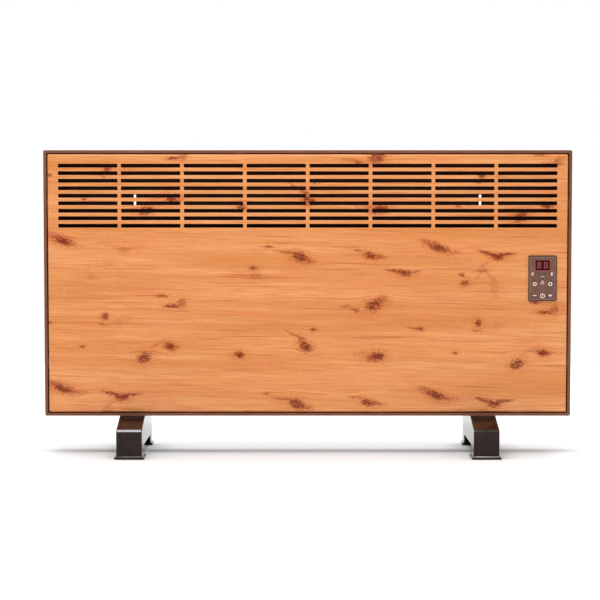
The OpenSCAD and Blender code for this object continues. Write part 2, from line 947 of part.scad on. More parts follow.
// insulated wire along a route
module wire(route, r) {
    sides = 8;
    count = len(route);
    points = [for (i = [0 : count - 1]) each wire_ring(route[i], heading(route, i), r, sides)];
    walls = [for (i = [0 : count - 2], k = [0 : sides - 1])
        [i * sides + k, (i + 1) * sides + k, (i + 1) * sides + (k + 1) % sides,
            i * sides + (k + 1) % sides]];
    first_end = [[for (k = [0 : sides - 1]) k]];
    last_end = [[for (k = [0 : sides - 1]) count * sides - 1 - k]];
    polyhedron(points = points, faces = concat(first_end, walls, last_end), convexity = 4);
}

module wiring() {
    mains_r = 1.3;
    signal_r = 1.6;
    lead = 6;                               // straight start and end of each wire
    wire_y = power_y - lead;
    low_z = power_z - power_h / 2 + 6;
    box_low = fascia_z - box_h / 2;
    block_y = back_in - terminal_size[1];
    color("#c8c0b0") {
        // power board through the grommet to the right-hand element
        wire([[power_x - 20, power_y, low_z], [power_x - 20, wire_y, low_z],
            [power_x - 22, wire_y - 4, low_z - 12], [shield_x + 12, 0, grommet_z],
            [shield_x - 10, 0, grommet_z], [shield_x - 10, -2, element_z - 12]], mains_r);
        // terminal block up to the power board
        for (offset = [-5, 5])
            wire([[terminal_x + offset, block_y, gland_z], [terminal_x + offset, block_y - lead, gland_z],
                [power_x + 11 + offset, wire_y, low_z - 10], [power_x + 11 + offset, wire_y, low_z],
                [power_x + 11 + offset, power_y, low_z]], mains_r);
        // control board down to the power board
        wire([[fascia_x, board_y + board_t, box_low + 14], [fascia_x, box_back - 10, box_low + 14],
            [fascia_x, box_back - 10, box_low - lead], [power_x, wire_y, power_z + power_h / 2 - 5],
            [power_x, power_y, power_z + power_h / 2 - 5]], signal_r);
    }
}

// ---------------------------------------------------------------- feet

// side outline of the foot's upper part, drawn in by a wall
module foot_outline(wall, z0) {
    polygon([[-foot_in / 2 + wall, z0], [-foot_in / 2 + wall, foot_front_h - wall],
        [-seat_len / 2, foot_top - wall], [seat_len / 2, foot_top - wall],
        [foot_in / 2 - wall, foot_front_h - wall], [foot_in / 2 - wall, z0]]);
}

// stands a YZ outline across the foot, a given width
module across(w) {
    translate([-w / 2, 0, 0])
        rotate([90, 0, 90])
            linear_extrude(height = w)
                children();
}

// outline of the arch between the legs
module arch_outline() {
    polygon([[-foot_len / 2 + leg_front, -over], [-foot_len / 2 + leg_front + arch_slope, arch_h],
        [foot_len / 2 - leg_rear - arch_slope, arch_h], [foot_len / 2 - leg_rear, -over]]);
}

// shallow recess in one sloping top face
module slope_recess(end) {
    y_low = foot_in / 2 - recess_margin;
    y_high = seat_len / 2 + 2;
    fall = (foot_top - foot_front_h) / (foot_in / 2 - seat_len / 2);
    z_low = foot_front_h + recess_margin * fall;
    z_high = foot_top - 2 * fall;
    across(foot_w - 2 * recess_margin)
        polygon([[end * y_low, z_low - recess_t], [end * y_low, z_low + over],
            [end * y_high, z_high + over], [end * y_high, z_high - recess_t]]);
}

// places of the two pads under a foot
PADS_Y = [-foot_len / 2 + leg_front / 2, foot_len / 2 - leg_rear / 2];

module foot(x) {
    color("#2c1c18")
        translate([x, 0, 0])
            difference() {
                union() {
                    across(foot_w)
                        foot_outline(0, pad_proud);
                    translate([-foot_w / 2 - flange_side, -foot_len / 2, pad_proud])
                        cube([foot_w + 2 * flange_side, foot_len, flange_t]);
                }
                across(foot_w - 2 * foot_wall)
                    foot_outline(foot_wall, pad_proud + flange_t);
                across(foot_w + 4 * flange_side)
                    arch_outline();
                for (end = [-1, 1])
                    slope_recess(end);
                for (y = PADS_Y)
                    translate([0, y, 0])
                        cylinder(r = pad_r + touch_gap, h = pad_proud + pad_sink);
                for (y = [-foot_screw_y, foot_screw_y])
                    translate([0, y, foot_top - 2 * foot_wall])
                        cylinder(r = foot_screw_r + touch_gap, h = 3 * foot_wall);
            }
}

module foot_left() { foot(-foot_spacing / 2); }
module foot_right() { foot(foot_spacing / 2); }

module foot_plates() {
    color("#8d8f91")
        for (side = [-1, 1])
            translate([side * foot_spacing / 2, 0, floor_in])
                difference() {
                    translate([-foot_w / 2, y_front + rim_depth + 1, 0])
                        cube([foot_w, body_d - rim_depth - 2 * sheet - 3, plate_t]);
                    for (y = [-foot_screw_y, foot_screw_y])
                        translate([0, y, -over])
                            cylinder(r = foot_screw_r + touch_gap, h = plate_t + 2 * over);
                }
}

module foot_screws() {
    head_r = 4.5;
    head_t = 2.5;
    color("#7a7d80")
        for (side = [-1, 1], y = [-foot_screw_y, foot_screw_y])
            translate([side * foot_spacing / 2, y, foot_top - foot_wall - head_t]) {
                cylinder(r = head_r, h = head_t);
                cylinder(r = foot_screw_r, h = head_t + foot_wall + sheet + plate_t + 3);
            }
}

module foot_pads() {
    color("#303030")
        for (side = [-1, 1], y = PADS_Y)
            translate([side * foot_spacing / 2, y, 0])
                cylinder(r = pad_r, h = pad_proud + pad_sink);
}

// ---------------------------------------------------------------- nodes

case_frame();
back_panel();
front_panel();
panel_clips();
inlet_grille();
air_deflector();
heat_shield();
shield_grommet();
wall_slot_plates();
control_fascia();
display_window();
display_digits();
display_module();
indicator_lamps();
key_timer();
key_mode();
key_minus();
key_power();
key_plus();
control_box();
control_board();
key_switches();
board_screws();
power_board();
power_standoffs();
relays();
power_module();
capacitor();
terminal_block();
earth_stud();
element_left();
element_right();
heater_core_left();
heater_core_right();
ceramic_bushes();
core_terminals();
element_brackets();
cutout_bracket();
thermal_cutout();
sensor_clip();
room_sensor();
tilt_switch_body();
tilt_pin();
tilt_pendulum();
tilt_microswitch();
cable_gland();
gland_nut();
wiring();
foot_left();
foot_right();
foot_plates();
foot_screws();
foot_pads();
case_screws();
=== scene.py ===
"""Free-standing panel convector heater: knotty pine print on the front, brown case, glossy feet."""
import json
import math

import bmesh
import bpy
from mathutils import Matrix, Vector


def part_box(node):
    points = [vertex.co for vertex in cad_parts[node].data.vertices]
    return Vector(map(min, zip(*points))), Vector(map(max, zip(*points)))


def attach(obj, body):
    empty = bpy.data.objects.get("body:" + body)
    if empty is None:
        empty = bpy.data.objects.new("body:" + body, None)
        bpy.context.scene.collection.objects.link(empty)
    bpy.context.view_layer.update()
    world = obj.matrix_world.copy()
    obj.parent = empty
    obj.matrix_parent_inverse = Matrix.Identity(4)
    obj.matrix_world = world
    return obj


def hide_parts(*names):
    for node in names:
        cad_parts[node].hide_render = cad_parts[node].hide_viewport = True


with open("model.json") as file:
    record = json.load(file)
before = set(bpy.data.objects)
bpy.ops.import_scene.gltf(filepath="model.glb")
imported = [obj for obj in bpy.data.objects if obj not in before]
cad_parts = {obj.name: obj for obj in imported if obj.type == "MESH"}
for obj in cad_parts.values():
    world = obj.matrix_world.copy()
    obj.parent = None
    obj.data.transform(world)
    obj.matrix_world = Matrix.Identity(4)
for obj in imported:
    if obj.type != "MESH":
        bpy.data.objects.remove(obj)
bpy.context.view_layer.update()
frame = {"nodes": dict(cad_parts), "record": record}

MM = 0.001

# folded front sheet, its bends and the small radius on punched edges
SHEET = 1.2 * MM
FOLD_RADIUS = 2.4 * MM
SLOT_CORNER = 0.9 * MM
PUNCHED_EDGE = 0.55 * MM

# outlet grille: columns and rows of slots, counted from the upper left one
GRILLE_COLUMNS, GRILLE_ROWS = 8, 9
SLOT_WIDTH, SLOT_HEIGHT = 100 * MM, 6.4 * MM
COLUMN_PITCH, ROW_PITCH = 106 * MM, 12.65 * MM
GRILLE_LEFT, GRILLE_TOP = -421 * MM, 493.1 * MM

# thickness of a printed line
INK = 0.08 * MM

# feet: how far the base flange stands out at the sides and ends, height of its top
FLANGE_SIDE, FLANGE_END, FLANGE_TOP = 3.5 * MM, 2.5 * MM, 4 * MM
FOOT_CHAMFER, FOOT_SIDE_RADIUS, FOOT_ROOT, FOOT_EDGE = 2.6 * MM, 1.2 * MM, 1.9 * MM, 0.5 * MM
ROOT_RISE = 0.31                    # how much taller than deep the chamfered root is
SHOULDER = 45 * MM                  # the end faces reach above this height
ARCH_HEIGHT, ARCH_REACH = 20.5 * MM, 80 * MM

NEAR = 0.0001                       # two heights closer than this are the same


# ---------------------------------------------------------------- camera, light and floor

def aim(thing, target):
    """Turns a light so that it looks at a point."""
    thing.rotation_euler = (Vector(target) - thing.location).to_track_quat("-Z", "Y").to_euler()


def place_camera():
    """Long lens, a little above the middle of the case and tipped down."""
    lens = bpy.data.cameras.new("camera")
    lens.lens = 105.8
    lens.clip_end = 50
    camera = bpy.data.objects.new("camera", lens)
    camera.location = (-0.013, -3.019, 0.435)
    camera.rotation_euler = (math.radians(90 - 3.3), 0, 0)
    bpy.context.collection.objects.link(camera)
    bpy.context.scene.camera = camera


def place_light(name, place, target, width, height, power):
    """One soft box."""
    lamp = bpy.data.lights.new(name, "AREA")
    lamp.shape = "RECTANGLE"
    lamp.size = width
    lamp.size_y = height
    lamp.energy = power
    box = bpy.data.objects.new(name, lamp)
    box.location = place
    aim(box, target)
    bpy.context.collection.objects.link(box)


def light_studio():
    """White studio: a narrow box above and in front, one over the far floor, and white all round,
    dimmer behind the camera."""
    place_light("overhead strip box", (-0.15, -0.89, 1.9), (0, -0.1, 0.05), 1.5, 0.16, 27)
    place_light("floor light", (0, 0.9, 2.4), (0, 1.6, 0), 4.5, 2.5, 80)
    world = bpy.data.worlds.new("white studio")
    bpy.context.scene.world = world
    world.use_nodes = True
    tree = world.node_tree
    tree.nodes.clear()
    look = add(tree, "TexCoord").outputs["Generated"]
    parts = add(tree, "SeparateXYZ", {"Vector": look})
    front = ramp(tree, parts.outputs["Y"], -0.9, -0.1, 0.1, 1.0)
    glow = add(tree, "Background", {"Color": srgb("#FFFFFF"), "Strength": front})
    add(tree, "OutputWorld", {"Surface": glow.outputs["Background"]})
    bpy.context.scene.view_settings.view_transform = "Standard"


def lay_floor():
    """Plain pale sheet under the heater; its edges run out into the white all round."""
    half, forward = 2.8, 1.2
    bm = bmesh.new()
    bmesh.ops.create_grid(bm, x_segments=1, y_segments=1, size=half)
    bmesh.ops.translate(bm, vec=(0, -forward, 0), verts=bm.verts)
    piece(bm, "studio_floor", studio_paper())


# ---------------------------------------------------------------- making materials

def srgb(code):
    """sRGB hex to a linear colour."""
    parts = [int(code[i:i + 2], 16) / 255 for i in (1, 3, 5)]
    return (*[c / 12.92 if c <= 0.04045 else ((c + 0.055) / 1.055) ** 2.4 for c in parts], 1)


def add(tree, kind, inputs=None, **settings):
    """Adds one node: inputs are values or output sockets by input name, settings its own options."""
    made = tree.nodes.new("ShaderNode" + kind)
    for key, value in settings.items():
        setattr(made, key, value)
    for key, value in (inputs or {}).items():
        if isinstance(value, bpy.types.NodeSocket):
            tree.links.new(value, made.inputs[key])
        else:
            made.inputs[key].default_value = value
    return made


def new_material(name):
    """Empty material and its node tree."""
    mat = bpy.data.materials.new(name)
    mat.use_nodes = True
    mat.node_tree.nodes.clear()
    return mat, mat.node_tree


def surface(tree, inputs, bump=None):
    """Ends a material in a Principled shader; bump is (height socket, depth in metres)."""
    if bump:
        height, depth = bump
        inputs["Normal"] = add(tree, "Bump", {"Height": height, "Distance": depth,
                                              "Strength": 1.0}).outputs["Normal"]
    shader = add(tree, "BsdfPrincipled", inputs)
    add(tree, "OutputMaterial", {"Surface": shader.outputs["BSDF"]})


def millimetres(tree, stretch=(1, 1, 1)):
    """Object coordinates in millimetres, divided by a pattern's size along each axis."""
    place = add(tree, "TexCoord").outputs["Object"]
    scale = [1 / (MM * s) for s in stretch]
    return add(tree, "Mapping", {"Vector": place, "Scale": scale}).outputs["Vector"]


def noise(tree, vector, detail=3, rough=0.5, scale=1.0):
    """Value of a noise texture."""
    made = add(tree, "TexNoise", {"Vector": vector, "Scale": scale, "Detail": detail,
                                  "Roughness": rough})
    return made.outputs["Fac"]


def ramp(tree, value, low, high, to_low=0.0, to_high=1.0):
    """Smooth step from one range to another."""
    made = add(tree, "MapRange", {"Value": value, "From Min": low, "From Max": high,
                                  "To Min": to_low, "To Max": to_high},
               interpolation_type="SMOOTHSTEP")
    return made.outputs["Result"]


def maths(tree, operation, *values):
    """Plain arithmetic on sockets or numbers."""
    made = tree.nodes.new("ShaderNodeMath")
    made.operation = operation
    for slot, value in zip(made.inputs, values):
        if isinstance(value, bpy.types.NodeSocket):
            tree.links.new(value, slot)
        else:
            slot.default_value = value
    return made.outputs[0]


def vector_maths(tree, operation, *values):
    """Arithmetic on vectors."""
    made = tree.nodes.new("ShaderNodeVectorMath")
    made.operation = operation
    for slot, value in zip(made.inputs, values):
        if isinstance(value, bpy.types.NodeSocket):
            tree.links.new(value, slot)
        else:
            slot.default_value = value
    return made.outputs["Value" if operation in ("LENGTH", "DOT_PRODUCT") else "Vector"]


def blend_colours(tree, share, first, second):
    """Mixes two colours, each a socket or a hex code."""
    made = tree.nodes.new("ShaderNodeMix")
    made.data_type = "RGBA"
    for slot, value in ((made.inputs[0], share), (made.inputs[6], first), (made.inputs[7], second)):
        if isinstance(value, bpy.types.NodeSocket):
            tree.links.new(value, slot)
        else:
            slot.default_value = srgb(value) if isinstance(value, str) else value
    return made.outputs[2]


# ---------------------------------------------------------------- the wood print

PRINT_REPEAT = (632.0, 249.5, 1000.0)   # the print's repeat along and across the grain, mm
PRINT_TURN = math.radians(1.0)          # the print lies a little askew on the sheet

# one repeat of the knots: place on the sheet (x, z), half length, half height (mm), tilt in degrees,
# strength
KNOTS = [
    (224, 350, 15, 6, -12, 1.0), (206, 357, 17, 5, -20, 0.5), (250, 346, 14, 2, -4, 0.35),
    (321, 336, 9, 5, 0, 1.0), (303, 342, 14, 2.8, -18, 0.9), (338, 340, 14, 2.4, 10, 0.85),
    (106, 338, 11, 5.5, -12, 1.0), (84, 346, 11, 1.6, -8, 0.55), (124, 337, 8, 2, -6, 0.5),
    (-14, 336, 12, 8, -16, 1.0), (-38, 343, 17, 2, -12, 0.5), (-66, 353, 6, 2, 0, 0.8),
    (2, 332, 12, 3, -12, 0.5),
    (165, 308, 10, 5, -4, 0.95), (147, 312, 15, 2.4, -8, 0.75), (183, 311, 12, 2, 8, 0.5),
    (261, 306, 5, 3.4, 0, 0.75), (266, 292, 6, 5, 16, 0.9),
    (-336, 323, 8, 2.2, 0, 0.5), (-343, 315, 9, 1.4, 52, 0.3),
    (297, 322, 16, 3, 42, 0.2), (309, 304, 16, 3, -44, 0.25), (316, 282, 12, 8, -70, 0.2),
    (-92, 317, 7, 3.6, 0, 0.85), (-88, 305, 9, 4, 0, 0.3),
    (-247, 270, 9, 3, -6, 0.7), (-231, 253, 11, 3, 0, 0.95), (-214, 258, 9, 7, 30, 0.55),
    (112, 254, 13, 9, 16, 1.0), (127, 262, 10, 5, 24, 0.45), (80, 247, 7, 3.5, -16, 0.65),
    (62, 251, 10, 3, 0, 0.35),
    (10, 213, 5, 2.8, 0, 0.9),
    (190, 214, 7, 2.6, 0, 0.85), (174, 216, 9, 1.4, -8, 0.45),
    (289, 224, 5.5, 6, 22, 0.95), (284, 213, 6, 1.8, 0, 0.5), (318, 218, 18, 7, 14, 0.15),
    (-2, 182, 11, 7, -14, 1.0), (-9, 191, 9, 6, -50, 0.6), (-24, 203, 15, 2, -36, 0.45),
    (119, 168, 11, 6, 4, 1.0), (112, 165, 15, 5, 4, 0.5), (90, 171, 14, 5, 0, 0.22),
    (-116, 170, 8, 5.5, 0, 1.0),
    (-277, 165, 12, 8, 22, 1.0), (-258, 185, 12, 3, 36, 0.25),
    (-235, 185, 8, 6, -16, 0.95), (-228, 184, 12, 2.4, 0, 0.5),
    (-382, 184, 4.5, 2.4, 0, 0.8),
]


def knot_group():
    """One knot: adds its dark heart and the stain round it to the marks, and bends the grain's
    place round itself for everything that follows."""
    tree = bpy.data.node_groups.new("knot", "ShaderNodeTree")
    face = tree.interface
    for label, kind in (("Place", "Vector"), ("Marks", "Vector"), ("Wobble", "Vector"),
                        ("Centre", "Vector"), ("Tilt", "Float"), ("Size", "Vector"),
                        ("Strength", "Float")):
        face.new_socket(label, in_out="INPUT", socket_type="NodeSocket" + kind)
    for label in ("Place", "Marks"):
        face.new_socket(label, in_out="OUTPUT", socket_type="NodeSocketVector")
    given = tree.nodes.new("NodeGroupInput").outputs
    half = tuple(side / 2 for side in PRINT_REPEAT)
    away = vector_maths(tree, "SUBTRACT", given["Place"], given["Centre"])
    near = vector_maths(tree, "WRAP", away, half, tuple(-side for side in half))
    turned = add(tree, "VectorRotate", {"Vector": near, "Angle": given["Tilt"]},
                 rotation_type="Z_AXIS").outputs["Vector"]
    sized = vector_maths(tree, "DIVIDE", turned, given["Size"])
    reach = vector_maths(tree, "LENGTH", vector_maths(tree, "ADD", sized, given["Wobble"]))
    heart = ramp(tree, reach, 1.35, 0.55)
    stain = ramp(tree, reach, 2.9, 0.8)
    mark = add(tree, "CombineXYZ", {"X": heart, "Y": stain}).outputs["Vector"]
    marks = vector_maths(tree, "ADD", given["Marks"], scaled(tree, mark, given["Strength"]))
    pull = maths(tree, "MULTIPLY", ramp(tree, vector_maths(tree, "LENGTH", sized), 3.6, 0.4),
                 given["Strength"])
    push = scaled(tree, vector_maths(tree, "MULTIPLY", near, (0, 0.45, 0)), pull)
    place = vector_maths(tree, "SUBTRACT", given["Place"], push)
    result = tree.nodes.new("NodeGroupOutput").inputs
    tree.links.new(place, result["Place"])
    tree.links.new(marks, result["Marks"])
    return tree


def scaled(tree, vector, factor):
    """A vector times a number."""
    return add(tree, "VectorMath", {"Vector": vector, "Scale": factor},
               operation="SCALE").outputs["Vector"]


def on_print(x, z):
    """A place on the sheet, in the print's own directions."""
    cos, sin = math.cos(PRINT_TURN), math.sin(PRINT_TURN)
    return (x * cos - z * sin, x * sin + z * cos, 0)


def knot_field(tree, place, wobble):
    """All knots of the print: the marks they leave (heart, stain) and the place bent round them."""
    group = knot_group()
    marks = None
    for x, z, length, height, tilt, strength in KNOTS:
        knot = add(tree, "Group", {}, node_tree=group)
        tree.links.new(place, knot.inputs["Place"])
        if marks:
            tree.links.new(marks, knot.inputs["Marks"])
        tree.links.new(wobble, knot.inputs["Wobble"])
        knot.inputs["Centre"].default_value = on_print(x, z)
        knot.inputs["Tilt"].default_value = math.radians(-tilt)
        knot.inputs["Size"].default_value = (length, height, 1)
        knot.inputs["Strength"].default_value = strength
        place, marks = knot.outputs["Place"], knot.outputs["Marks"]
    parts = add(tree, "SeparateXYZ", {"Vector": marks}).outputs
    return parts["X"], parts["Y"], place


def stretched_noise(tree, along, across, length, height, detail=2.0, seed=0.0):
    """Noise drawn out along the grain: length by height in mm."""
    vector = add(tree, "CombineXYZ", {"X": maths(tree, "DIVIDE", along, length),
                                      "Y": maths(tree, "DIVIDE", across, height),
                                      "Z": seed}).outputs["Vector"]
    return noise(tree, vector, detail=detail)


def worn_patch(tree, print_mm):
    """1 where the print is full, less over the pale patch near its upper left corner."""
    x, z, _ = on_print(-322, 318)
    away = vector_maths(tree, "DIVIDE", vector_maths(tree, "SUBTRACT", print_mm, (x, z, 0)),
                        (98, 62, 1))
    return ramp(tree, vector_maths(tree, "LENGTH", away), 0.75, 1.1, 0.18, 1.0)


def print_place(tree):
    """Place on the sheet in the print's own directions, in mm: along the grain, across it, 0."""
    place = add(tree, "TexCoord").outputs["Object"]
    turned = add(tree, "Mapping", {"Vector": place, "Scale": (1 / MM, 1 / MM, 1 / MM),
                                   "Rotation": (-math.pi / 2, 0, PRINT_TURN)}).outputs["Vector"]
    return vector_maths(tree, "MULTIPLY", turned, (1, 1, 0))


def knot_wobble(tree, print_mm):
    """What makes the knots' outlines ragged, in shares of their size."""
    fine = vector_maths(tree, "MULTIPLY", print_mm, (0.22, 0.6, 1))
    ragged = add(tree, "TexNoise", {"Vector": fine, "Scale": 1.0, "Detail": 3.0,
                                    "Roughness": 0.65}).outputs["Color"]
    return vector_maths(tree, "MULTIPLY", vector_maths(tree, "SUBTRACT", ragged, (0.5, 0.5, 0.5)),
                        (2.6, 2.2, 0))


def grain_flow(tree, along, across, bent):
    """Place across the grain, bent round the knots and swaying a little."""
    sway = stretched_noise(tree, along, across, 240, 70, detail=1)
    return maths(tree, "ADD", add(tree, "SeparateXYZ", {"Vector": bent}).outputs["Y"],
                 maths(tree, "MULTIPLY", maths(tree, "SUBTRACT", sway, 0.5), 8))


def grain_colour(tree, along, flow, band, fleck):
    """The wood without its knots: boards, paler bands, pink blush, fibres, growth lines, flecks."""
    board = stretched_noise(tree, along, flow, 500, 50, detail=1, seed=3.1)
    fibre = stretched_noise(tree, along, flow, 50, 2.2, detail=3, seed=1.3)
    line = stretched_noise(tree, along, flow, 190, 3.2, detail=2, seed=5.9)
    blush = stretched_noise(tree, along, flow, 90, 22, detail=2, seed=9.4)
    colour = blend_colours(tree, ramp(tree, board, 0.3, 0.7), "#E8985C", "#DC8B4C")
    colour = blend_colours(tree, ramp(tree, band, 0.4, 0.75, 0, 0.6), colour, "#F2AE74")
    colour = blend_colours(tree, ramp(tree, blush, 0.52, 0.75, 0, 0.55), colour, "#E98A5E")
    colour = blend_colours(tree, ramp(tree, fibre, 0.42, 0.72, 0, 0.55), colour, "#D07A40")
    colour = blend_colours(tree, ramp(tree, line, 0.58, 0.72, 0, 0.6), colour, "#BC5A2A")
    return blend_colours(tree, ramp(tree, fleck, 0.58, 0.78, 0, 0.35), colour, "#F8C08A")


def knot_colours(tree, colour, heart, stain, fleck, clear):
    """Lays the knots' red-brown stain and dark hearts over the grain, broken up by pale flecks."""
    veins = maths(tree, "MULTIPLY", stain, ramp(tree, fleck, 0.3, 0.6, 0.6, 0.12))
    colour = blend_colours(tree, maths(tree, "MULTIPLY", veins, clear), colour, "#C6501F")
    core = maths(tree, "MULTIPLY", heart, ramp(tree, fleck, 0.45, 0.68, 1.0, 0.45))
    return blend_colours(tree, maths(tree, "MULTIPLY", core, clear), colour, "#84300F")


def knotty_pine_print():
    """Printed steel: a knotty pine film under satin lacquer, with fine orange peel. Straight fine
    fibres along the sheet, faint reddish growth lines, small dark knots with ragged outlines."""
    mat, tree = new_material("knotty pine printed film on steel, satin lacquered")
    print_mm = print_place(tree)
    parts = add(tree, "SeparateXYZ", {"Vector": print_mm}).outputs
    along, across = parts["X"], parts["Y"]
    heart, stain, bent = knot_field(tree, print_mm, knot_wobble(tree, print_mm))
    flow = grain_flow(tree, along, across, bent)
    band = stretched_noise(tree, along, flow, 300, 11, detail=2, seed=7.7)
    fleck = stretched_noise(tree, along, across, 6, 2.0, detail=2, seed=2.2)
    colour = grain_colour(tree, along, flow, band, fleck)
    colour = knot_colours(tree, colour, heart, stain, fleck, worn_patch(tree, print_mm))
    peel = noise(tree, millimetres(tree, (1.6, 1.6, 1.6)), detail=1)
    surface(tree, {"Base Color": colour, "Roughness": ramp(tree, band, 0.2, 0.8, 0.34, 0.44),
                   "Specular IOR Level": 0.3}, bump=(peel, 0.00002))
    return mat


# ---------------------------------------------------------------- paints, plastics and metals

def powder_coat(name, main, shade):
    """Baked powder coat: satin, even colour with fine orange peel, real grain 0.8 mm across."""
    mat, tree = new_material(name)
    cloud = noise(tree, millimetres(tree, (60, 60, 60)), detail=2)
    peel = noise(tree, millimetres(tree, (0.8, 0.8, 0.8)), detail=1)
    surface(tree, {"Base Color": blend_colours(tree, ramp(tree, cloud, 0.3, 0.7), main, shade),
                   "Roughness": ramp(tree, peel, 0.3, 0.7, 0.4, 0.52),
                   "Specular IOR Level": 0.32}, bump=(peel, 0.00006))
    return mat


def gloss_abs():
    """Moulded high-gloss ABS: dark brown, mirror-like with faint flow marks from the gate."""
    mat, tree = new_material("moulded high-gloss ABS, dark brown")
    flow = noise(tree, millimetres(tree, (9, 40, 14)), detail=2)
    colour = blend_colours(tree, ramp(tree, flow, 0.3, 0.7), "#1F120F", "#2A1914")
    surface(tree, {"Base Color": colour, "Roughness": ramp(tree, flow, 0.3, 0.7, 0.05, 0.09),
                   "Specular IOR Level": 0.2}, bump=(flow, 0.00003))
    return mat


def moulded_plastic(name, main, shade, rough, grain=0.7, depth=0.00003):
    """Moulded technical plastic: spark-eroded grain and slight clouding."""
    mat, tree = new_material(name)
    cloud = noise(tree, millimetres(tree, (14, 14, 14)), detail=2)
    texture = noise(tree, millimetres(tree, (grain, grain, grain)), detail=2)
    surface(tree, {"Base Color": blend_colours(tree, ramp(tree, cloud, 0.3, 0.7), main, shade),
                   "Roughness": ramp(tree, texture, 0.3, 0.7, rough - 0.06, rough + 0.06)},
            bump=(texture, depth))
    return mat


def zinc_sheet():
    """Hot-dip galvanised sheet: soft grey spangles about 9 mm across."""
    mat, tree = new_material("hot-dip galvanised sheet steel")
    spangle = add(tree, "TexVoronoi", {"Vector": millimetres(tree, (9, 9, 9)), "Scale": 1.0})
    tone = add(tree, "SeparateColor", {"Color": spangle.outputs["Color"]}).outputs["Red"]
    surface(tree, {"Base Color": blend_colours(tree, tone, "#8C9094", "#A9ADB0"),
                   "Metallic": 1.0, "Roughness": ramp(tree, tone, 0, 1, 0.36, 0.5)})
    return mat


def drawn_metal(name, main, shade, rough, stretch):
    """Metal with fine draw or turning marks along one direction."""
    mat, tree = new_material(name)
    marks = noise(tree, millimetres(tree, stretch), detail=3)
    surface(tree, {"Base Color": blend_colours(tree, ramp(tree, marks, 0.3, 0.7), main, shade),
                   "Metallic": 1.0,
                   "Roughness": ramp(tree, marks, 0.3, 0.7, rough - 0.07, rough + 0.07)},
            bump=(marks, 0.00003))
    return mat


def steatite():
    """Fired steatite: unglazed, off-white, dry and faintly speckled."""
    mat, tree = new_material("fired steatite ceramic")
    fleck = noise(tree, millimetres(tree, (0.9, 0.9, 0.9)), detail=2)
    surface(tree, {"Base Color": blend_colours(tree, ramp(tree, fleck, 0.55, 0.75), "#EDE6D8",
                                               "#CFC5B2"),
                   "Roughness": ramp(tree, fleck, 0.3, 0.7, 0.62, 0.78)}, bump=(fleck, 0.00004))
    return mat


def fascia_film():
    """Screen-printed polycarbonate plate: warm brown-grey with a fine brushed print, semi-gloss."""
    mat, tree = new_material("screen-printed polycarbonate plate")
    brushed = noise(tree, millimetres(tree, (0.9, 8, 12)), detail=2)
    surface(tree, {"Base Color": blend_colours(tree, ramp(tree, brushed, 0.3, 0.7), "#6C4A3D",
                                               "#7D584A"),
                   "Roughness": ramp(tree, brushed, 0.3, 0.7, 0.24, 0.34)})
    return mat


def tinted_acrylic():
    """Cast acrylic window: deep red tint, polished, the display shows through it."""
    mat, tree = new_material("tinted cast acrylic, polished")
    haze = noise(tree, millimetres(tree, (6, 6, 6)), detail=1)
    surface(tree, {"Base Color": blend_colours(tree, haze, "#3A0D12", "#4A1218"),
                   "Roughness": ramp(tree, haze, 0.3, 0.7, 0.05, 0.1), "Alpha": 0.55})
    return mat


def lit_segment():
    """Lit display bar: diffused red-pink light, a little brighter in its middle."""
    mat, tree = new_material("lit LED segment, diffused")
    spread = noise(tree, millimetres(tree, (2, 2, 2)), detail=1)
    colour = blend_colours(tree, ramp(tree, spread, 0.3, 0.7), "#F0707C", "#F59AA0")
    surface(tree, {"Base Color": colour, "Emission Color": colour, "Emission Strength": 1.6,
                   "Roughness": 0.4})
    return mat


def printed_ink(name, main, shade):
    """Pad-printed ink: thin and slightly uneven."""
    mat, tree = new_material(name)
    cover = noise(tree, millimetres(tree, (0.8, 0.8, 0.8)), detail=2)
    surface(tree, {"Base Color": blend_colours(tree, ramp(tree, cover, 0.3, 0.7), main, shade),
                   "Roughness": ramp(tree, cover, 0.3, 0.7, 0.4, 0.5)})
    return mat


def circuit_laminate():
    """Glass-epoxy circuit board: green solder mask over faint copper tracks."""
    mat, tree = new_material("glass-epoxy circuit board, solder mask")
    track = add(tree, "TexVoronoi", {"Vector": millimetres(tree, (4, 4, 4)), "Scale": 1.0},
                distance="MANHATTAN").outputs["Distance"]
    surface(tree, {"Base Color": blend_colours(tree, ramp(tree, track, 0.45, 0.55), "#14512C",
                                               "#1E6B3C"),
                   "Roughness": ramp(tree, track, 0.3, 0.7, 0.3, 0.4)})
    return mat


def studio_paper():
    """Seamless white paper."""
    mat, tree = new_material("seamless white paper")
    tooth = noise(tree, millimetres(tree, (3, 3, 3)), detail=2)
    surface(tree, {"Base Color": blend_colours(tree, tooth, "#DCDCDC", "#E2E2E2"),
                   "Roughness": 0.9})
    return mat


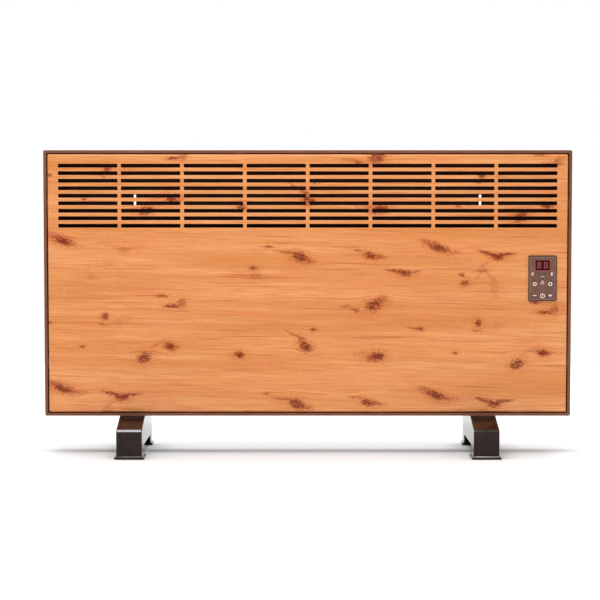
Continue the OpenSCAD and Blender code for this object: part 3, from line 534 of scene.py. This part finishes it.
def make_finishes():
    """One material for each of the record's finish slots."""
    black = moulded_plastic("moulded black ABS", "#151515", "#1E1E1E", 0.5)
    return {
        "case_paint": powder_coat("brown powder coat on steel", "#84513A", "#784730"),
        # back paint: partly the back sheet's own dark brown coat, partly painted shade: its dark
        # red-brown stands for the dim inside of the case seen through the grille and the gaps
        "back_paint": powder_coat("dark brown powder coat on steel with painted shade", "#34160C", "#2A1009"),
        "wood_print": knotty_pine_print(),
        "zinc_steel": zinc_sheet(),
        "silicone": moulded_plastic("moulded silicone rubber", "#3C3C3C", "#464646", 0.6),
        "fascia_plastic": fascia_film(),
        "display_lens": tinted_acrylic(),
        "digit_light": lit_segment(),
        "black_plastic": black,
        "lamp_plastic": moulded_plastic("moulded dark red acrylic", "#5E1E1A", "#702A22", 0.2,
                                        depth=0),
        "key_plastic": moulded_plastic("moulded ABS key, brown", "#6A483C", "#765346", 0.3,
                                       depth=0.00001),
        "circuit_board": circuit_laminate(),
        "screw_steel": drawn_metal("zinc-plated screw steel", "#8E9194", "#A4A7AA", 0.35,
                                   (0.5, 3, 0.5)),
        "nylon": moulded_plastic("moulded nylon, natural", "#DAD5C6", "#CFC9B8", 0.45),
        "relay_plastic": moulded_plastic("moulded PBT, blue", "#24508C", "#2C5B9A", 0.4),
        "capacitor_sleeve": moulded_plastic("shrunk PVC sleeve", "#343A50", "#3D445C", 0.3),
        "brass": drawn_metal("turned brass", "#B8934A", "#C9A65C", 0.3, (0.6, 2, 0.6)),
        "element_aluminium": drawn_metal("extruded aluminium, mill finish", "#9A9DA1", "#B4B7BA",
                                         0.4, (60, 0.9, 0.9)),
        "core_steel": drawn_metal("heat-tinted steel sheath", "#6F6253", "#857560", 0.42,
                                  (30, 1.2, 1.2)),
        "ceramic": steatite(),
        "pendulum_metal": drawn_metal("cast zinc weight", "#6E6B67", "#7E7B76", 0.5, (2, 2, 2)),
        "wire_insulation": moulded_plastic("silicone wire insulation", "#B9AF9E", "#C6BCAA", 0.5),
        "foot_plastic": gloss_abs(),
        "ink": printed_ink("pad-printed ink, warm white", "#F6E2DA", "#EBD0C6"),
        "line_ink": printed_ink("pad-printed ink, light brown", "#A98C7E", "#9A7C6E"),
        "dark_ink": printed_ink("pad-printed ink, dark brown", "#24120E", "#2E1813"),
        "red_ink": printed_ink("pad-printed ink, deep red", "#8C3A3C", "#9A4547"),
        "pad_rubber": moulded_plastic("moulded rubber pad", "#1B1B1B", "#242424", 0.75,
                                      depth=0.00008),
    }


# ---------------------------------------------------------------- making pieces

def piece(bm, name, mat, smooth_below=35):
    """Turns a bmesh into an object at the origin with one material, smooth across soft edges."""
    mesh = bpy.data.meshes.new(name)
    bm.to_mesh(mesh)
    bm.free()
    mesh.shade_smooth()
    mesh.set_sharp_from_angle(angle=math.radians(smooth_below))
    mesh.materials.append(mat)
    made = bpy.data.objects.new(name, mesh)
    bpy.context.collection.objects.link(made)
    return made


def fit(made, body="heater", stands_for=()):
    """Says which body the piece rides on and hides the CAD nodes that it stands for."""
    if stands_for:
        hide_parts(*stands_for)
    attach(made, body)
    return made


def bevel(bm, edges, width, segments=2):
    """Rounds edges."""
    bmesh.ops.bevel(bm, geom=list(edges), offset=width, offset_type="OFFSET", segments=segments,
                    profile=0.5, affect="EDGES", clamp_overlap=True, material=-1)


def turn_angle(edge):
    """Angle between an edge's two faces, 0 where it is open."""
    return edge.calc_face_angle(0.0) if len(edge.link_faces) == 2 else 0.0


def cad_copy(node):
    """The CAD node's shape as a clean mesh: doubles merged, flat faces joined."""
    bm = bmesh.new()
    bm.from_mesh(frame["nodes"][node].data)
    bmesh.ops.remove_doubles(bm, verts=bm.verts, dist=0.000002)
    bmesh.ops.dissolve_limit(bm, angle_limit=math.radians(0.6), verts=bm.verts, edges=bm.edges,
                             delimit=set())
    return bm


def softened(node, width, segments=2, sharper_than=50):
    """A CAD node with its sharp edges broken by a small radius."""
    bm = cad_copy(node)
    limit = math.radians(sharper_than)
    bevel(bm, [e for e in bm.edges if turn_angle(e) > limit], width, segments)
    return bm


def soft_node(node, width, segments=2, body="heater"):
    """Replaces a CAD node by a copy with softened edges."""
    slot = SLOT_OF[node]
    made = piece(softened(node, width, segments), node + "_finished", FINISHES[slot])
    keep_flats(made)
    return fit(made, body, (node,))


# ---------------------------------------------------------------- front panel

def build_front_panel():
    """Folded sheet: outlet grille at the top, opening for the control plate on the right."""
    low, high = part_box("front_panel")
    bm = bmesh.new()
    bmesh.ops.create_grid(bm, x_segments=1, y_segments=1, size=0.5)
    bmesh.ops.scale(bm, vec=(high.x - low.x, high.z - low.z, 1), verts=bm.verts)
    bmesh.ops.rotate(bm, matrix=Matrix.Rotation(math.pi / 2, 3, "X"), verts=bm.verts)
    bmesh.ops.translate(bm, vec=((low.x + high.x) / 2, low.y, (low.z + high.z) / 2),
                        verts=bm.verts)
    openings = grille_slots() + [fascia_opening()]
    for x in sorted({x for opening in openings for x in opening[:2]}):
        cut_at(bm, (x, 0, 0), (1, 0, 0))
    for z in sorted({z for opening in openings for z in opening[2:]}):
        cut_at(bm, (0, 0, z), (0, 0, 1))
    holes = [f for f in bm.faces if in_an_opening(f.calc_center_median(), openings)]
    bmesh.ops.delete(bm, geom=holes, context="FACES")
    fold_rim_back(bm, low, high)
    bmesh.ops.solidify(bm, geom=bm.faces[:], thickness=SHEET)
    round_slot_ends(bm, low.y)
    made = piece(bm, "front_panel_finished", FINISHES["wood_print"])
    break_edges(made, PUNCHED_EDGE, 3)
    return fit(made, stands_for=("front_panel",))


def grille_slots():
    """(left, right, bottom, top) of each outlet slot."""
    slots = []
    for column in range(GRILLE_COLUMNS):
        left = GRILLE_LEFT + COLUMN_PITCH * column
        for row in range(GRILLE_ROWS):
            top = GRILLE_TOP - ROW_PITCH * row
            slots.append((left, left + SLOT_WIDTH, top - SLOT_HEIGHT, top))
    return slots


def fascia_opening():
    """The control plate's cut-out, a margin inside the plate's outline."""
    low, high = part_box("control_fascia")
    margin = 2.6 * MM
    return (low.x + margin, high.x - margin, low.z + margin, high.z - margin)


def cut_at(bm, point, normal):
    """Cuts the whole mesh along a plane."""
    bmesh.ops.bisect_plane(bm, geom=bm.verts[:] + bm.edges[:] + bm.faces[:], plane_co=point,
                           plane_no=normal, dist=0.000001)


def in_an_opening(centre, openings):
    """True where a point lies in one of the openings."""
    return any(left < centre.x < right and bottom < centre.z < top
               for left, right, bottom, top in openings)


def fold_rim_back(bm, low, high):
    """Folds the sheet's outline back and rounds the bends."""
    rim = [e for e in bm.edges if e.is_boundary and on_border(e, low, high)]
    folded = bmesh.ops.extrude_edge_only(bm, edges=rim)["geom"]
    back = [v for v in folded if isinstance(v, bmesh.types.BMVert)]
    bmesh.ops.translate(bm, vec=(0, high.y - low.y, 0), verts=back)
    bmesh.ops.recalc_face_normals(bm, faces=bm.faces)
    bends = [e for e in bm.edges if turn_angle(e) > math.radians(60)]
    bevel(bm, bends, FOLD_RADIUS, 5)


def on_border(edge, low, high):
    """True for an edge along the sheet's outline."""
    a, b = (v.co for v in edge.verts)
    return any(abs(a[i] - side[i]) < 0.00001 and abs(b[i] - side[i]) < 0.00001
               for i in (0, 2) for side in (low, high))


def round_slot_ends(bm, front):
    """Rounds the punched corners of the slots."""
    corners = [e for e in bm.edges if turn_angle(e) > math.radians(80)
               and abs(e.verts[0].co.y - e.verts[1].co.y) > SHEET / 2
               and min(v.co.y for v in e.verts) < front + SHEET]
    bevel(bm, corners, SLOT_CORNER, 3)


def break_edges(made, width, segments):
    """Takes the sharpness off what is left, keeping the flats flat."""
    soft = made.modifiers.new("broken edges", "BEVEL")
    soft.width = width
    soft.segments = segments
    soft.limit_method = "ANGLE"
    soft.angle_limit = math.radians(55)
    keep_flats(made)


def keep_flats(made):
    """Weights the shading by face size, so flats stay flat beside rounded edges."""
    made.modifiers.new("face weighted shading", "WEIGHTED_NORMAL").keep_sharp = True


# ---------------------------------------------------------------- control plate print

def stroke(bm, path, width, face, closed=False):
    """A printed line of one width along points (x, z), lying on a face at depth y."""
    rows = []
    count = len(path)
    for i, point in enumerate(path):
        before = path[i - 1] if i or closed else point
        after = path[(i + 1) % count] if i < count - 1 or closed else point
        rows.append(stroke_row(bm, Vector(point), Vector(before), Vector(after), width, face))
    pairs = list(zip(rows, rows[1:] + rows[:1])) if closed else list(zip(rows, rows[1:]))
    for here, there in pairs:
        for i in range(4):
            bm.faces.new((here[i], here[(i + 1) % 4], there[(i + 1) % 4], there[i]))
    if not closed:
        bm.faces.new(rows[0])
        bm.faces.new(rows[-1][::-1])


def stroke_row(bm, point, before, after, width, face):
    """The four corners of a printed line's section at one point, with a mitred width."""
    ways = [w.normalized() for w in (point - before, after - point) if w.length > 0]
    way = sum(ways, Vector((0, 0))).normalized()
    mitre = max(way.dot(ways[0]), 0.5)
    side = Vector((-way.y, way.x)) * (width / 2 / mitre)
    left, right = point + side, point - side
    return [bm.verts.new((p.x, y, p.y)) for p, y in
            ((left, face - INK), (right, face - INK), (right, face), (left, face))]


def arc(centre, radius, start, end, steps):
    """Points on a circle, angles in degrees from +X towards +Z."""
    whole = abs(end - start) >= 360
    parts = steps if whole else steps - 1
    return [(centre[0] + radius * math.cos(math.radians(start + (end - start) * i / parts)),
             centre[1] + radius * math.sin(math.radians(start + (end - start) * i / parts)))
            for i in range(steps)]


def rounded_frame(low, high, inset, radius):
    """Outline of a plate with rounded corners, inset from its box."""
    left, right = low.x + inset + radius, high.x - inset - radius
    bottom, top = low.z + inset + radius, high.z - inset - radius
    path = []
    for centre, start in (((right, top), 0), ((left, top), 90), ((left, bottom), 180),
                          ((right, bottom), 270)):
        path += arc(centre, radius, start, start + 90, 6)
    return path


def plate_point(x, z):
    """A place on the control plate, in mm from its middle."""
    low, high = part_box("control_fascia")
    return ((low.x + high.x) / 2 + x * MM, (low.z + high.z) / 2 + z * MM)


def dot(bm, centre, radius, face):
    """A printed dot."""
    place = Matrix.Translation((centre[0], face - INK / 2, centre[1]))
    bmesh.ops.create_cone(bm, cap_ends=True, segments=16, radius1=radius, radius2=radius, depth=INK,
                          matrix=place @ Matrix.Rotation(math.pi / 2, 4, "X"))


def bell_path(x, z):
    """A small bell: round below, drawn up to a point, in mm from the plate's middle."""
    return [plate_point(x + dx, z + dz) for dx, dz in
            ((-3.0, -1.6), (-2.2, 0.4), (-1.2, 2.6), (0, 3.6), (1.2, 2.6), (2.2, 0.4), (3.0, -1.6))]


def thermometer(bm, x, face):
    """A thermometer sign: stem, bulb and two marks."""
    stroke(bm, [plate_point(x, 10.6), plate_point(x, 7.0)], 1.5 * MM, face)
    dot(bm, plate_point(x, 6.3), 1.7 * MM, face)
    for mark in (10.0, 8.4):
        stroke(bm, [plate_point(x + 1.2, mark), plate_point(x + 2.4, mark)], 0.6 * MM, face)


def build_plate_print():
    """Signs printed on the control plate round its lamps and window."""
    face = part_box("control_fascia")[0].y
    bm = bmesh.new()
    thermometer(bm, -17, face)
    thermometer(bm, 15.6, face)
    stroke(bm, arc(plate_point(0, 0), 2.9 * MM, 20, 160, 12), 0.8 * MM, face)
    stroke(bm, bell_path(0, -7.4), 0.7 * MM, face)
    stroke(bm, arc(plate_point(0, -8.6), 1.5 * MM, 0, 360, 14), 0.6 * MM, face, closed=True)
    printed(bm, "plate_print", "ink")
    bm = bmesh.new()
    dot(bm, plate_point(0, 0), 2.1 * MM, face - 0.2 * MM)
    printed(bm, "receiver_window", "dark_ink")


def printed(bm, name, ink, body="heater"):
    """Finishes a print as a piece of its own."""
    bmesh.ops.recalc_face_normals(bm, faces=bm.faces)
    fit(piece(bm, name, FINISHES[ink]), body)


def build_plate_lines():
    """Dark band along the plate's edge, a fine light line inside it, red border of the window."""
    low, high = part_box("control_fascia")
    print_frame("plate_edge_band", low, high, 0.9, 2.0, 1.0, "dark_ink")
    print_frame("plate_inner_line", low, high, 2.9, 1.2, 0.45, "line_ink")
    low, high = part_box("display_window")
    print_frame("window_border", low, high, -0.75, 0.6, 1.4, "red_ink")


def print_frame(name, low, high, inset, radius, width, ink):
    """A printed frame that follows a plate's outline, sizes in mm."""
    bm = bmesh.new()
    stroke(bm, rounded_frame(low, high, inset * MM, radius * MM), width * MM,
           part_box("control_fascia")[0].y, closed=True)
    printed(bm, name, ink)


def key_middle(key):
    """Middle of a key's front (x, z) and the depth of its face."""
    low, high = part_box(key)
    return (low.x + high.x) / 2, (low.z + high.z) / 2, low.y


def build_key_prints():
    """The sign on each key, moving with it."""
    for key in ("key_timer", "key_mode"):
        x, z, face = key_middle(key)
        bm = bmesh.new()
        stroke(bm, arc((x, z), 2.65 * MM, 0, 360, 24), 1.5 * MM, face, closed=True)
        printed(bm, key + "_sign", "ink", key)
    half, bar = 3.2 * MM, 1.4 * MM
    for key in ("key_minus", "key_plus"):
        x, z, face = key_middle(key)
        bm = bmesh.new()
        stroke(bm, [(x - half, z), (x + half, z)], bar, face)
        if key == "key_plus":
            for up in (-1, 1):
                stroke(bm, [(x, z + up * bar / 2), (x, z + up * 2.6 * MM)], bar, face)
        printed(bm, key + "_sign", "ink", key)
    x, z, face = key_middle("key_power")
    bm = bmesh.new()
    stroke(bm, arc((x, z - 0.4 * MM), 3.5 * MM, 120, 420, 26), 1.4 * MM, face)
    stroke(bm, [(x, z - 0.2 * MM), (x, z + 4.2 * MM)], 1.3 * MM, face)
    printed(bm, "key_power_sign", "ink", "key_power")


# ---------------------------------------------------------------- feet

def build_foot(node):
    """Moulded foot: a flat chamfer along the top of each end face, rounded side edges, a chamfered
    root where the walls meet the base flange, and softened recesses in the sloping top faces."""
    low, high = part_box(node)
    wall_low = Vector((low.x + FLANGE_SIDE, low.y + FLANGE_END, FLANGE_TOP))
    wall_high = Vector((high.x - FLANGE_SIDE, high.y - FLANGE_END, high.z))
    bm = cad_copy(node)
    bevel(bm, [e for e in bm.edges if is_end_top(e, wall_low, wall_high)], FOOT_CHAMFER, 1)
    sides = [e for e in bm.edges if is_side_edge(e, wall_low, wall_high)]
    bevel(bm, sides, FOOT_SIDE_RADIUS, 3)
    bevel(bm, [e for e in bm.edges if is_flange_root(e, wall_low, wall_high)], FOOT_ROOT, 1)
    steepen_root(bm, wall_low, wall_high)
    rest = [e for e in bm.edges if turn_angle(e) > math.radians(50) and is_outside(e, low, high)]
    bevel(bm, rest, FOOT_EDGE, 2)
    made = piece(bm, node + "_finished", FINISHES["foot_plastic"])
    keep_chamfers_flat(made)
    keep_flats(made)
    return fit(made, stands_for=(node,))


def on_wall(vert, low, high):
    """How many of the outer wall planes (two sides, two ends) a vertex lies on."""
    gaps = [abs(vert.co.x - low.x), abs(vert.co.x - high.x), abs(vert.co.y - low.y),
            abs(vert.co.y - high.y)]
    return sum(gap < NEAR / 5 for gap in gaps)


def runs_across(edge):
    """True for an edge along X."""
    way = edge.verts[1].co - edge.verts[0].co
    return abs(way.x) > 0.99 * way.length


def is_end_top(edge, low, high):
    """The edge between an end face and the sloping face above it."""
    a, b = edge.verts
    return (runs_across(edge) and turn_angle(edge) > math.radians(50) and a.co.z > SHOULDER
            and on_wall(a, low, high) > 1 and on_wall(b, low, high) > 1)


def is_side_edge(edge, low, high):
    """Convex outer edges of the upper part that run along its sides, above the flange."""
    a, b = edge.verts
    return (not runs_across(edge) and turn_angle(edge) > math.radians(12)
            and edge.calc_face_angle_signed(0.0) > 0
            and on_wall(a, low, high) and on_wall(b, low, high)
            and max(a.co.z, b.co.z) > low.z + NEAR and min(a.co.z, b.co.z) > low.z - NEAR
            and not is_arch_edge(edge))


def is_arch_edge(edge):
    """Edges of the arch that runs across under the foot."""
    a, b = edge.verts
    return (max(a.co.z, b.co.z) < ARCH_HEIGHT and abs(a.co.y) < ARCH_REACH
            and abs(b.co.y) < ARCH_REACH)


def is_flange_root(edge, low, high):
    """The inner corner between a wall and the top of the flange."""
    a, b = edge.verts
    return (edge.calc_face_angle_signed(0.0) < -math.radians(50) and abs(a.co.z - low.z) < NEAR
            and abs(b.co.z - low.z) < NEAR and low.x - NEAR < a.co.x < high.x + NEAR)


def steepen_root(bm, low, high):
    """Draws the chamfered root up the walls, so that it is taller than it is deep."""
    for vert in bm.verts:
        if 0.3 * MM < vert.co.z - low.z < 2 * MM and on_wall(vert, low, high):
            vert.co.z += (vert.co.z - low.z) * ROOT_RISE


def keep_chamfers_flat(made):
    """Shades the chamfers of the end faces as flats, which catch the light as one clean line."""
    for face in made.data.polygons:
        if 0.55 < face.normal.z < 0.66 and abs(face.normal.y) > 0.7:
            face.use_smooth = False


def is_outside(edge, low, high):
    """Edges of the flange and of the sloping recesses, not those inside the hollow."""
    middle = (edge.verts[0].co + edge.verts[1].co) / 2
    seat_end = 39 * MM
    return middle.z < FLANGE_TOP + 0.2 * MM or (middle.z > 47 * MM and abs(middle.y) > seat_end)


# ---------------------------------------------------------------- screws on the back

def build_case_screws():
    """Pan-head screws with a cross recess, one for each screw of the CAD node."""
    bm = cad_copy("case_screws")
    heads = islands(bm)
    bm.free()
    out = bmesh.new()
    for low, high in heads:
        add_screw_head(out, (low + high) / 2, low.y, high.y, (high.x - low.x) / 2)
    bmesh.ops.recalc_face_normals(out, faces=out.faces)
    return fit(piece(out, "case_screws_finished", FINISHES["screw_steel"], 50),
               stands_for=("case_screws",))


def islands(bm):
    """Boxes of a mesh's separate parts."""
    left = set(bm.verts)
    boxes = []
    while left:
        reached, front = set(), [left.pop()]
        while front:
            vert = front.pop()
            reached.add(vert)
            near = {e.other_vert(vert) for e in vert.link_edges} & left
            left -= near
            front += near
        points = [v.co for v in reached]
        boxes.append((Vector([min(p[i] for p in points) for i in range(3)]),
                      Vector([max(p[i] for p in points) for i in range(3)])))
    return boxes


def add_screw_head(bm, middle, seat, top, radius):
    """Domed head with a plus-shaped recess, its axis along Y, facing backwards."""
    rise = top - seat
    rings = [ring(bm, middle, radius * r, seat + rise * h)
             for r, h in ((0.9, 0.0), (1.0, 0.12), (1.0, 0.4), (0.9, 0.72), (0.72, 0.9), (0.6, 0.96))]
    for lower, upper in zip(rings, rings[1:]):
        skin(bm, lower, upper)
    bm.faces.new(rings[0][::-1])
    cross = plus_loop(bm, middle, radius * 0.5, radius * 0.13, top)
    edges = [bm.edges.new(pair) for pair in zip(cross, cross[1:] + cross[:1])]
    rim = [bm.edges.get(pair) for pair in zip(rings[-1], rings[-1][1:] + rings[-1][:1])]
    bmesh.ops.bridge_loops(bm, edges=edges + rim)
    floor = plus_loop(bm, middle, radius * 0.42, radius * 0.1, seat + rise * 0.3)
    skin(bm, cross, floor)
    bm.faces.new(floor)


def ring(bm, middle, radius, y):
    """A loop of points about the Y axis."""
    return [bm.verts.new((middle.x + radius * math.cos(math.tau * i / 24), y,
                          middle.z + radius * math.sin(math.tau * i / 24))) for i in range(24)]


def plus_loop(bm, middle, reach, half, y):
    """A plus-shaped loop of twelve points."""
    arms = ((reach, -half), (reach, half), (half, half), (half, reach), (-half, reach),
            (-half, half), (-reach, half), (-reach, -half), (-half, -half), (-half, -reach),
            (half, -reach), (half, -half))
    return [bm.verts.new((middle.x + x, y, middle.z + z)) for x, z in arms]


def skin(bm, lower, upper):
    """Quads between two loops of equal length."""
    for i in range(len(lower)):
        j = (i + 1) % len(lower)
        bm.faces.new((lower[i], lower[j], upper[j], upper[i]))


# ---------------------------------------------------------------- the whole heater

place_camera()
light_studio()
SLOT_OF = {p["node"]: p["material_slot"] for p in frame["record"]["subparts"]}
FINISHES = make_finishes()
lay_floor()
for node, thing in frame["nodes"].items():
    thing.data.materials.clear()
    thing.data.materials.append(FINISHES[SLOT_OF[node]])
build_front_panel()
build_plate_print()
build_plate_lines()
build_key_prints()
build_case_screws()
build_foot("foot_left")
build_foot("foot_right")
for node, width in (("case_frame", 0.4), ("back_panel", 0.3), ("control_fascia", 0.5),
                    ("cable_gland", 0.4), ("display_window", 0.3)):
    soft_node(node, width * MM, 3)
for key in ("key_timer", "key_mode", "key_minus", "key_power", "key_plus"):
    soft_node(key, 0.2 * MM, 3, key)
